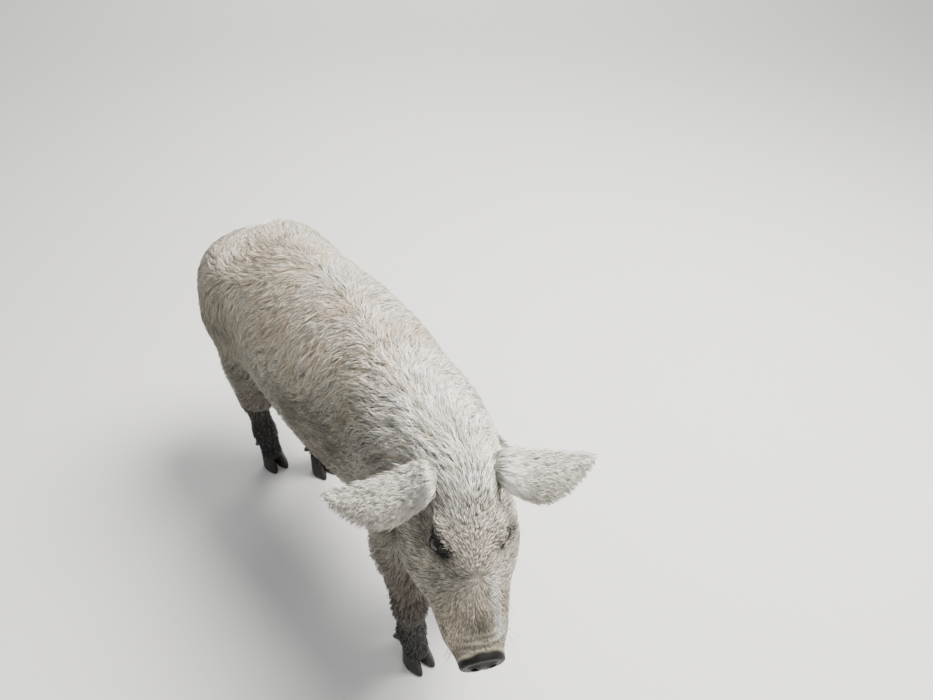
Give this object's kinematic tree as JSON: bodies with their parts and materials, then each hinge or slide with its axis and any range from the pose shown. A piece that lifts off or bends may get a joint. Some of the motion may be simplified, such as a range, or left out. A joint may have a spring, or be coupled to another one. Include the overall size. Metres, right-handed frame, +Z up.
{
  "type": "standing curly-coated farm pig",
  "caption": "Life-size curly-coated pig standing with its head lowered and turned, in a still pose.",
  "frame": {"origin": "floor level under the middle of the bounding box", "axes": "+X towards the head, +Y to the animal's left, +Z up"},
  "size_m": [1.1375, 0.4186, 0.7226],
  "materials": {
    "coat": "cream-white wavy coat, lying flat",
    "face": "short grey-tan hair",
    "shank": "short dark hair",
    "claw": "dark horn",
    "snout": "bare dark skin, slightly moist",
    "eye": "dark and wet"
  },
  "bodies": {
    "root": {"ear_left": "coat", "ear_right": "coat", "eye_left": "eye", "eye_right": "eye", "foreleg_left_claw_inner": "claw", "foreleg_left_claw_outer": "claw", "foreleg_left_dewclaw_inner": "claw", "foreleg_left_dewclaw_outer": "claw", "foreleg_left_lower": "shank", "foreleg_left_upper": "coat", "foreleg_right_claw_inner": "claw", "foreleg_right_claw_outer": "claw", "foreleg_right_dewclaw_inner": "claw", "foreleg_right_dewclaw_outer": "claw", "foreleg_right_lower": "shank", "foreleg_right_upper": "coat", "head": "face", "hindleg_left_claw_inner": "claw", "hindleg_left_claw_outer": "claw", "hindleg_left_dewclaw_inner": "claw", "hindleg_left_dewclaw_outer": "claw", "hindleg_left_lower": "shank", "hindleg_left_upper": "coat", "hindleg_right_claw_inner": "claw", "hindleg_right_claw_outer": "claw", "hindleg_right_dewclaw_inner": "claw", "hindleg_right_dewclaw_outer": "claw", "hindleg_right_lower": "shank", "hindleg_right_upper": "coat", "neck": "coat", "snout_disk": "snout", "tail": "coat", "torso": "coat"}
  },
  "joints": []
}
